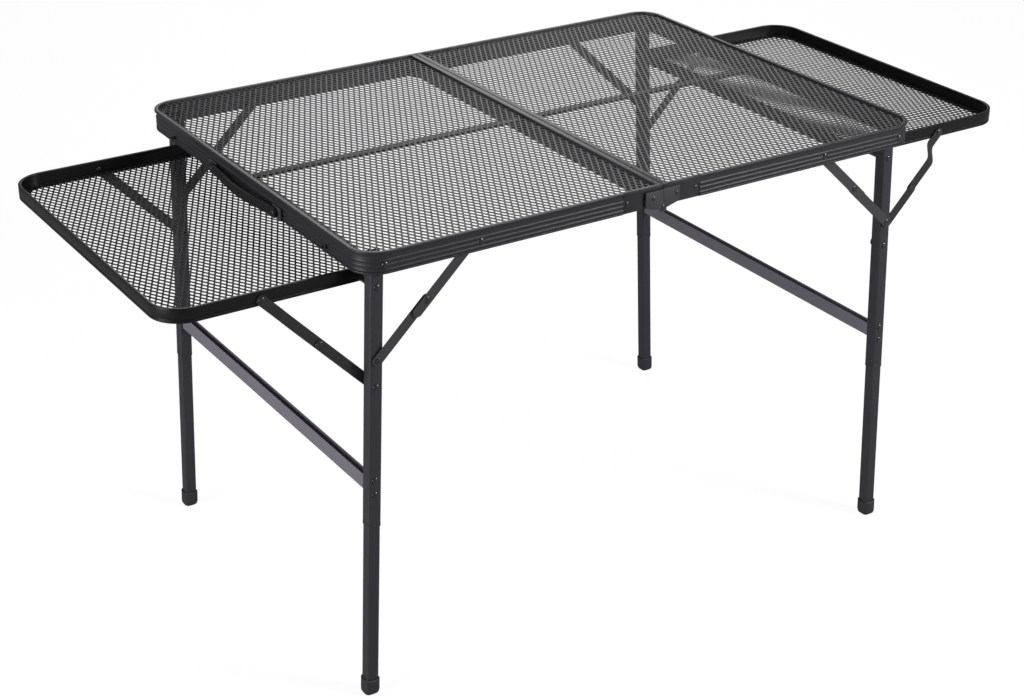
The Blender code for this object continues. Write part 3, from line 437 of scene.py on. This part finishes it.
# the middle hinge: two plates on each long side, the outer one on the left half
hinge = {"thick": 0.0016, "length": 0.0255, "rise": 0.022, "foot": 0.002, "notch": 0.004, "tab": 0.006,
         "z": 0.5705, "outerY": 0.3008, "innerY": 0.2989, "round": 0.0012, "edge": 0.0002, "leftRivet": -0.0145,
         "rightRivet": 0.0215, "blockRivetX": 0.051, "rivet": 0.003, "rivetHeight": 0.0011,
         "blockRivetHeight": 0.0012, "bolt": 0.002, "boltHead": 0.004}
for name, sx in sides:
    inner, outer = top["seam"] + clearance, top["seam"] + hinge["length"]
    foot, high = top["rimBottom"] + hinge["foot"], top["rimBottom"] + hinge["rise"]
    angle = np.radians(np.linspace(340, 200, 15))
    tab = np.stack([hinge["tab"] * np.cos(angle), hinge["z"] + hinge["tab"] * np.sin(angle)], 1)
    outline = [(inner, high), (outer, high), (outer, foot)] + tab.tolist() + [(inner, foot + hinge["notch"])]
    outline = softened(np.array(outline) * (sx, 1), hinge["round"])
    for row, sy in rows:
        y = hinge["outerY"] if sx < 0 else hinge["innerY"]
        half = hinge["thick"] / 2
        leaf = plate(outline, -half, half, hinge["edge"], sy * y * alongY, (alongX, alongZ, alongY))
        title = "_" + name + "_" + row
        piece("hinge_plate" + title, [leaf], "top_" + name, linkPaint, ["hinge_leaf" + title])
        face = sy * (y + half)
        leafSpot = (hinge[name + "Rivet"], face, top["rivetZ"])
        blockSpot = (sx * hinge["blockRivetX"], sy * seam["blockOuter"], top["rivetZ"])
        heads = [rivet(leafSpot, sy * alongY, hinge["rivet"], hinge["rivetHeight"]),
                 rivet(blockSpot, sy * alongY, hinge["rivet"], hinge["blockRivetHeight"])]
        if sx < 0:
            heads.append(rivet((0, face, hinge["z"]), sy * alongY, hinge["boltHead"], hinge["rivetHeight"]))
            back = sy * (hinge["innerY"] - half)
            heads.append(pin((0, back, hinge["z"]), (0, face, hinge["z"]), hinge["bolt"]))
        piece("hinge_rivets" + title, heads, "top_" + name, rivetSteel)

# pivots riveted through the long sides, latch studs on the left end and clasp ears on the right
latch = {"y": 0.211, "z": 0.581, "root": 0.404, "shaft": 0.002, "reach": 0.0028,
         "button": ((0.0022, 0), (0.0032, 0.0005), (0.0032, 0.0012), (0.0024, 0.0016)),
         "axisX": 0.4122, "axisZ": 0.578, "width": 0.022, "length": 0.017, "thick": 0.0025, "round": 0.0025,
         "edge": 0.0005, "ear": 0.002, "earHalf": 0.0047, "earBack": 0.0035, "earHeight": 0.006,
         "earRound": 0.0015, "earEdge": 0.0002, "pin": 0.0007, "pinPast": 0.0012}
for name, sx in sides:
    solids = []
    for row, sy in rows:
        legX, braceX = sx * leg["pivotX"], sx * (leg["pivotX"] - brace["arm"])
        for x, end in ((legX, leg["inner"] - clearance), (braceX, brace["upperY"] - brace["thick"] / 2)):
            seat = (x, sy * pivot["seat"], leg["pivotZ"])
            solids.append(rivet(seat, sy * alongY, pivot["head"], pivot["height"]))
            solids.append(pin((x, sy * end, leg["pivotZ"]), seat, pivot["radius"]))
        tail = (legX, sy * (leg["inner"] - clearance), leg["pivotZ"])
        solids.append(rivet(tail, -sy * alongY, pivot["head"], pivot["flatHeight"], 0))
        if sx < 0:
            root = np.array([-latch["root"], sy * latch["y"], latch["z"]])
            tip = np.array([-top["halfLength"] - latch["reach"], sy * latch["y"], latch["z"]])
            solids.append(pin(root, tip, latch["shaft"]))
            solids.append(turned(tip, alongX, latch["button"]))
    piece("rivets_top_" + name, solids, "top_" + name, rivetSteel)
ears = []
for row, sy in rows:
    y, half = sy * latch["y"], latch["width"] / 2
    outline = softened(rectangle(latch["earHalf"], latch["earHeight"] / 2), latch["earRound"])
    centre = np.array([latch["axisX"] - latch["earBack"], y, latch["axisZ"]])
    for side in (-1, 1):
        near = side * (half + clearance)
        low, high = sorted((near, near + side * latch["ear"]))
        ears.append(plate(outline, low, high, latch["earEdge"], centre, (alongX, alongZ, alongY)))
    past = half + latch["pinPast"]
    ears.append(pin((latch["axisX"], y - past, latch["axisZ"]), (latch["axisX"], y + past, latch["axisZ"]),
                    latch["pin"]))
    length = latch["length"] + latch["thick"] / 2
    outline = softened(rectangle(half, length / 2), latch["round"])
    centre = np.array([latch["axisX"], y, latch["axisZ"] + (latch["length"] - latch["thick"] / 2) / 2])
    hook = plate(outline, -latch["thick"] / 2, latch["thick"] / 2, latch["edge"], centre, (alongY, alongZ, alongX))
    piece("clasp_plate_" + row, [hook], "clasp_" + row, linkPaint, ["clasp_" + row])
piece("clasp_ears", ears, "top_right", linkPaint)
print("hinges and fittings made")

# the carrying handle: a rubber strap that bows out between two brackets on the left end
handle = {"span": 0.200, "height": 0.013, "thick": 0.004, "bow": 0.007, "z": 0.5805, "face": -0.4093,
          "bracket": 0.022, "bracketHeight": 0.016, "bracketThick": 0.0022, "bracketRound": 0.003,
          "bracketEdge": 0.0004, "inset": 0.0066, "stations": 48, "endRun": 0.003, "endLeast": 0.05,
          "round": 0.0016, "rivet": 0.003, "rivetHeight": 0.001, "rivetInset": 0.007}
reach = handle["span"] / 2 - handle["inset"]
back = handle["face"] - handle["bracketThick"] - clearance - handle["thick"] / 2
y = np.linspace(-reach, reach, handle["stations"] + 1)
x = back - handle["bow"] * np.cos(math.pi * y / (2 * reach)) ** 2
slope = np.gradient(x, y)
loops = []
for place, lean, offset in zip(y, slope, x):
    # the strap is a rounded bar whose ends taper off
    end = min(1, math.sqrt(max(handle["endLeast"], (reach - abs(place)) / handle["endRun"])))
    section = softened(rectangle(handle["thick"] / 2, handle["height"] / 2 * end), handle["round"])
    normal = unit((1, -lean, 0))
    loops.append(np.array([offset, place, handle["z"]]) + section[:, :1] * normal + section[:, 1:] * alongZ)
piece("carry_strap", [stack(loops)], "top_left", rubber, ["handle_strap"])
for row, sy in rows:
    centre = np.array([handle["face"], sy * (handle["span"] - handle["bracket"]) / 2, handle["z"]])
    outline = softened(rectangle(handle["bracket"] / 2, handle["bracketHeight"] / 2), handle["bracketRound"])
    bracket = plate(outline, -handle["bracketThick"], 0, handle["bracketEdge"], centre, (alongY, alongZ, alongX))
    piece("strap_bracket_" + row, [bracket], "top_left", linkPaint, ["handle_bracket_" + row])
    spot = (back - handle["thick"] / 2, sy * (reach - handle["rivetInset"]), handle["z"])
    head = rivet(spot, -alongX, handle["rivet"], handle["rivetHeight"])
    piece("strap_rivet_" + row, [head], "top_left", rivetSteel)

# legs: rounded square tubes, bushes, feet and cross bars
tubes = {"round": 0.003, "lowerWall": 0.0012, "lowerBoreRound": 0.0018, "overlap": 0.040,
         "collar": 0.0172, "collarHeight": 0.004, "collarEdge": 0.0005, "slideGap": 0.0002, "slideRound": 0.0015,
         "foot": 0.0208, "footRound": 0.008, "footHeight": 0.0225, "footFloor": 0.005, "socketRound": 0.002,
         "wave": 0.0008, "lipDraw": 0.0006, "lipDrop": 0.0008, "soleStart": 0.006,
         "sole": ((0.0004, 0.0034), (0.0013, 0.0012), (0.0028, 0.0)),
         "barHeight": 0.0195, "barThick": 0.010, "barDrop": 0.292, "barRivets": 0.019,
         "channelWall": 0.0009, "channelFloor": 0.0012, "channelRound": 0.0012}


def footSolid(sx, y):
    # loops from the socket's floor up its wall, over the wavy top edge, and down the outside to the sole
    origin, axes = legFrame(sx)
    outer = softened(rectangle(tubes["foot"] / 2, tubes["foot"] / 2), tubes["footRound"], 8)
    inner = softened(rectangle(*[leg["lowerSize"] / 2 + clearance] * 2), tubes["socketRound"], 8)
    angle = np.arctan2(outer[:, 1], outer[:, 0])
    wave = tubes["wave"] * np.cos(4 * angle)[:, None]
    top = leg["length"] - tubes["footHeight"] + tubes["wave"]
    loops = []
    for outline, draw, drop, lift in ((inner, 0, leg["length"] - tubes["footFloor"], 0), (inner, 0, top, 1),
                                      (outer, tubes["lipDraw"], top, 1), (outer, 0, top + tubes["lipDrop"], 1),
                                      (outer, 0, leg["length"] - tubes["soleStart"], 0)):
        flat = inset(outline, draw)
        loops.append(origin + flat[:, :1] * axes[0] + (y + flat[:, 1:]) * axes[1] + (drop + lift * wave) * axes[2])
    for draw, height in tubes["sole"]:
        flat = inset(outer, draw)
        loop = origin + flat[:, :1] * axes[0] + (y + flat[:, 1:]) * axes[1] + leg["length"] * axes[2]
        loop[:, 2] = height
        loops.append(loop)
    return stack(loops)


for name, sx in sides:
    origin, axes = legFrame(sx)
    for row, sy in rows:
        title = "_" + name + "_" + row
        at = origin + sy * leg["y"] * alongY
        outer = softened(rectangle(leg["size"] / 2, leg["size"] / 2), tubes["round"], 4)
        bore = softened(rectangle(*[leg["size"] / 2 - leg["wall"]] * 2), tubes["round"] - leg["wall"], 4)
        body = "legs_" + name
        tubeSolid = tube(outer, bore, -leg["head"], leg["upper"], thinEdge, at, axes)
        piece("leg_tube" + title, [tubeSolid], body, legPaint, ["upper_leg" + title])
        outer = softened(rectangle(tubes["collar"] / 2, tubes["collar"] / 2), tubes["round"], 4)
        slide = softened(rectangle(*[leg["lowerSize"] / 2 + tubes["slideGap"]] * 2), tubes["slideRound"], 4)
        start = leg["upper"] + clearance
        bush = tube(outer, slide, start, start + tubes["collarHeight"], tubes["collarEdge"], at, axes)
        piece("leg_bush" + title, [bush], body, plastic, ["collar" + title])
        outer = softened(rectangle(leg["lowerSize"] / 2, leg["lowerSize"] / 2), tubes["round"], 4)
        bore = softened(rectangle(*[leg["lowerSize"] / 2 - tubes["lowerWall"]] * 2), tubes["lowerBoreRound"], 4)
        tubeSolid = tube(outer, bore, leg["upper"] - tubes["overlap"],
                         leg["length"] - tubes["footFloor"] - clearance, thinEdge, at, axes)
        body = "lower_leg" + title
        piece("sliding_tube" + title, [tubeSolid], body, legPaint, ["lower_leg" + title])
        foot = footSolid(sx, sy * leg["y"])
        piece("foot_cap" + title, [foot], body, plastic, ["foot" + title])
    # the cross bar is a channel of folded sheet, open towards the top
    wide, tall = tubes["barThick"] / 2, tubes["barHeight"] / 2
    slot, deep = wide - tubes["channelWall"], tall - tubes["channelFloor"]
    outline = softened([(-wide, -tall), (-slot, -tall), (-slot, deep), (slot, deep), (slot, -tall), (wide, -tall),
                        (wide, tall), (-wide, tall)], tubes["channelRound"])
    reach = leg["inner"] - clearance
    crossBar = plate(outline, -reach, reach, thinEdge, origin + tubes["barDrop"] * axes[2],
                     (axes[0], axes[2], alongY))
    piece("cross_bar_" + name, [crossBar], "legs_" + name, barPaint, ["crossbar_" + name])
    # pins, spacers and rivets that go with the leg frame, along Y from point to point
    solids = []
    tip = wing["halfWidth"] - wing["wall"] - pivot["flatHeight"]
    innerRoot, outerRoot = leg["inner"] + leg["rootDepth"], leg["outer"] - leg["rootDepth"]
    pivotPoint, studPoint = legPoint(sx, wing["pivotDrop"]), legPoint(sx, brace["arm"])
    lowPoint = legPoint(sx, wing["pivotDrop"] + brace["arm"])
    studFace = brace["lowerY"] + brace["face"]
    runs = ((pivotPoint, tip, innerRoot, pivot["radius"]),
            (pivotPoint, wing["halfWidth"] + clearance, innerRoot, pivot["spacer"]),
            (studPoint, outerRoot, brace["lowerY"] - brace["face"], pivot["spacer"]),
            (studPoint, leg["outer"], studFace, pivot["radius"]),
            (lowPoint, innerRoot, brace["legY"] + brace["face"], pivot["spacer"]),
            (lowPoint, leg["inner"], brace["legY"] - brace["thick"] / 2, pivot["radius"]))
    drops = [wing["pivotDrop"], wing["pivotDrop"] + brace["arm"]]
    drops += [tubes["barDrop"] + side * tubes["barRivets"] / 2 for side in (-1, 1)]
    for row, sy in rows:
        for point, first, last, radius in runs:
            solids.append(pin(point + sy * first * alongY, point + sy * last * alongY, radius))
        stud = studPoint + sy * studFace * alongY
        solids.append(rivet(stud, sy * alongY, pivot["head"], pivot["studHeight"], 0))
        for drop in drops:
            solids.append(rivet(legPoint(sx, drop, sy * leg["outer"]), sy * alongY, pivot["head"],
                                pivot["legHeight"], leg["rootDepth"]))
    piece("rivets_legs_" + name, solids, "legs_" + name, rivetSteel)
print("legs made")

# wings: a walled rail with a groove near its foot and a ledge under the mesh
groove = {"rise": 0.003, "width": 0.0023, "depth": 0.0008, "slope": 0.0005, "round": 0.0008}


def wingProfile():
    # from the ledge along the foot and up the outer wall, past its groove, then back down the inner wall
    low, high = wing["rise"] - wing["height"], wing["rise"]
    start, stop = low + groove["rise"], low + groove["rise"] + groove["width"]
    lines = [(-wing["depth"], low), (0, low), (0, start), (-groove["depth"], start + groove["slope"]),
             (-groove["depth"], stop - groove["slope"]), (0, stop), (0, high), (-wing["wall"], high),
             (-wing["wall"], low + wing["ledge"]), (-wing["depth"], low + wing["ledge"])]
    return softened(lines, groove["round"])


for name, sx in sides:
    point = legPoint(sx, wing["pivotDrop"])
    near, far = point[0] - sx * wing["inner"], point[0] + sx * wing["outer"]
    a, b, y = wing["innerCorner"], wing["corner"], wing["halfWidth"]
    path, normals = arcs([(sx * far - b, b - y, b, 270, 360, 12), (sx * far - b, y - b, b, 0, 90, 12),
                          (sx * near + a, y - a, a, 90, 180, 10), (sx * near + a, a - y, a, 180, 270, 10)])
    flip = np.array([sx, 1])
    frameSolid = swept(wingProfile(), path * flip, normals * flip, point[2], closed=True)
    piece("wing_rail_" + name, [frameSolid], "wing_" + name, wingPaint, ["wing_frame_" + name])
    end = point + sx * brace["arm"] * alongX
    solids = []
    for row, sy in rows:
        face, inner = sy * (brace["wingY"] + brace["face"]), sy * (wing["halfWidth"] - wing["wall"])
        solids.append(pin(end + inner * alongY, end + face * alongY, pivot["radius"]))
        solids.append(rivet(end + face * alongY, sy * alongY, pivot["head"], pivot["flatHeight"], 0))
        solids.append(rivet(end + inner * alongY, -sy * alongY, pivot["innerHead"], pivot["innerHeight"]))
    piece("rivets_wing_" + name, solids, "wing_" + name, rivetSteel)
print("wings made")


def linkSolid(start, stop, startY, stopY, overlap):
    # stations along the bar, with half round ends; a smooth step carries it from one plane to the other
    along = unit(stop - start)
    length = np.linalg.norm(stop - start) + overlap
    across = np.array([-along[2], 0, along[0]])
    half = brace["width"] / 2
    angle = np.radians(np.linspace(80, 0, brace["endSteps"]))
    middleRun = np.linspace(0, length, brace["stations"])[1:-1]
    place = np.concatenate([-half * np.sin(angle), middleRun, length + half * np.sin(angle[::-1])])
    width = np.concatenate([half * np.cos(angle), np.full(len(middleRun), half), half * np.cos(angle[::-1])])
    t = np.clip((place - brace["joggleStart"]) / brace["joggleRun"], 0, 1)
    y = startY + (stopY - startY) * t * t * (3 - 2 * t)
    middles = start + place[:, None] * along + y[:, None] * alongY
    return bar(middles, width, across, brace["thick"], brace["bevel"])


for name, sx in sides:
    rimEnd = np.array([sx * (leg["pivotX"] - brace["arm"]), 0, leg["pivotZ"]])
    legEnd = legPoint(sx, brace["arm"])
    wingEnd = legPoint(sx, wing["pivotDrop"]) + sx * brace["arm"] * alongX
    lowEnd = legPoint(sx, wing["pivotDrop"] + brace["arm"])
    mainElbow, wingElbow = (rimEnd + legEnd) / 2, (wingEnd + lowEnd) / 2
    for row, sy in rows:
        # kind, half, ends, their places along Y, and whether the elbow's rivet head sits on it
        plans = (("main", "upper", rimEnd, mainElbow, brace["upperY"], brace["upperY"], True),
                 ("main", "lower", legEnd, mainElbow, brace["lowerY"], brace["lowerY"], False),
                 ("wing", "upper", wingEnd, wingElbow, brace["wingY"], brace["elbowY"], False),
                 ("wing", "lower", lowEnd, wingElbow, brace["legY"], brace["legY"], True))
        for kind, part, start, stop, startY, stopY, headed in plans:
            overlap = brace["overlap"] if (kind, part) == ("main", "upper") else 0
            solids = [linkSolid(start, stop, sy * startY, sy * stopY, overlap)]
            node = kind + "_brace_" + part + "_" + name
            paint = linkPaint if kind == "main" else wingLinkPaint
            piece(kind + "_link_" + part + "_" + name + "_" + row, solids, node, paint,
                  [node + "_" + row])
            if headed:
                spot = stop + sy * (stopY + brace["thick"] / 2) * alongY
                head = rivet(spot, sy * alongY, pivot["head"], pivot["flatHeight"])
                piece(kind + "_elbow_rivet_" + name + "_" + row, [head], node, rivetSteel)
print("braces made")

# stage: a pale floor that shows white to the camera and keeps the soft shadow
stage = {"size": 14.0, "paper": "#a8a8a8", "lift": 0.7, "glow": 1.32, "backdrop": 0.945, "horizon": 0.34,
         "zenith": 0.06, "drop": 0.0005, "dull": 0.9}
floorMesh = bpy.data.meshes.new("studio_floor")
half = stage["size"] / 2
floorMesh.from_pydata([(x, y, 0) for x, y in rectangle(half, half)], [], [(0, 1, 2, 3)])
floor = bpy.data.objects.new("studio_floor", floorMesh)
floor.location.z = -stage["drop"]
bpy.context.scene.collection.objects.link(floor)
paper = bpy.data.materials.new("matt_white_paper")
paper.use_nodes = True
tree = paper.node_tree
shader = tree.nodes["Principled BSDF"]
shader.inputs["Base Color"].default_value = linear(stage["paper"])
shader.inputs["Roughness"].default_value = stage["dull"]
path = addNode(tree, "ShaderNodeLightPath")
white = addNode(tree, "ShaderNodeEmission", {"Strength": stage["glow"]})
lift = addNode(tree, "ShaderNodeMath", {0: path.outputs["Is Camera Ray"], 1: stage["lift"]},
               operation="MULTIPLY")
mix = addNode(tree, "ShaderNodeMixShader", {0: lift.outputs[0], 1: shader.outputs[0], 2: white.outputs[0]})
tree.links.new(mix.outputs[0], tree.nodes["Material Output"].inputs["Surface"])
floorMesh.materials.append(paper)

world = bpy.data.worlds.new("studio")
bpy.context.scene.world = world
world.use_nodes = True
tree = world.node_tree
path = addNode(tree, "ShaderNodeLightPath")
height = addNode(tree, "ShaderNodeSeparateXYZ", {0: addNode(tree, "ShaderNodeTexCoord").outputs["Generated"]})
sky = ramp(tree, height.outputs["Z"], stage["horizon"], stage["zenith"])
seen = addNode(tree, "ShaderNodeMapRange", {"Value": path.outputs["Is Camera Ray"], "To Min": sky,
                                              "To Max": stage["backdrop"]})
tree.nodes["Background"].inputs["Color"].default_value = (1, 1, 1, 1)
tree.links.new(seen.outputs["Result"], tree.nodes["Background"].inputs["Strength"])

# soft lamps: name, place, what each points at, width in metres and power in watts
lamps = (("overhead", (0.2, 0.2, 2.6), (0, 0, 0.5), 1.8, 12),
         ("back_box", (1.6, 2.8, 2.0), (0, 0, 0.6), 1.8, 22),
         ("left_fill", (-3.0, -0.3, 0.9), (0, 0, 0.4), 1.6, 50),
         ("front_strip", (1.8, -2.6, 1.7), (0, 0, 0.4), 0.8, 66))
for name, place, aim, size, power in lamps:
    light = bpy.data.lights.new(name, "AREA")
    light.shape = "SQUARE"
    light.size = size
    light.energy = power
    lamp = bpy.data.objects.new(name, light)
    bpy.context.scene.collection.objects.link(lamp)
    back = unit(np.array(place) - np.array(aim))
    right = unit(np.cross((0, 0.01, 1), back))
    turn = np.eye(4)
    turn[:3, 0], turn[:3, 1], turn[:3, 2], turn[:3, 3] = right, np.cross(back, right), back, place
    lamp.matrix_world = Matrix(turn.tolist())

# camera at the photo's angle, for a picture of 1024 by 697
view = {"yaw": 0.5648, "pitch": 0.4575, "roll": 0.0001, "distance": 2.0027, "aim": (-0.3919, -0.5797, 0.600),
        "focalPx": 2004.46, "widthPx": 1024, "sensorMm": 36.0}
cosPitch = math.cos(view["pitch"])
look = np.array([math.sin(view["yaw"]) * cosPitch, math.cos(view["yaw"]) * cosPitch, -math.sin(view["pitch"])])
level = np.array([math.cos(view["yaw"]), -math.sin(view["yaw"]), 0])
rise = np.cross(level, look)
right = math.cos(view["roll"]) * level + math.sin(view["roll"]) * rise
upward = -math.sin(view["roll"]) * level + math.cos(view["roll"]) * rise
eye = np.array(view["aim"]) - view["distance"] * look
turn = np.eye(4)
turn[:3, 0], turn[:3, 1], turn[:3, 2], turn[:3, 3] = right, upward, -look, eye
lens = bpy.data.cameras.new("photo_camera")
lens.sensor_width = view["sensorMm"]
lens.lens = view["focalPx"] / view["widthPx"] * view["sensorMm"]
camera = bpy.data.objects.new("photo_camera", lens)
bpy.context.scene.collection.objects.link(camera)
camera.matrix_world = Matrix(turn.tolist())
bpy.context.scene.camera = camera
bpy.context.scene.view_settings.view_transform = "Standard"
print("stage made")
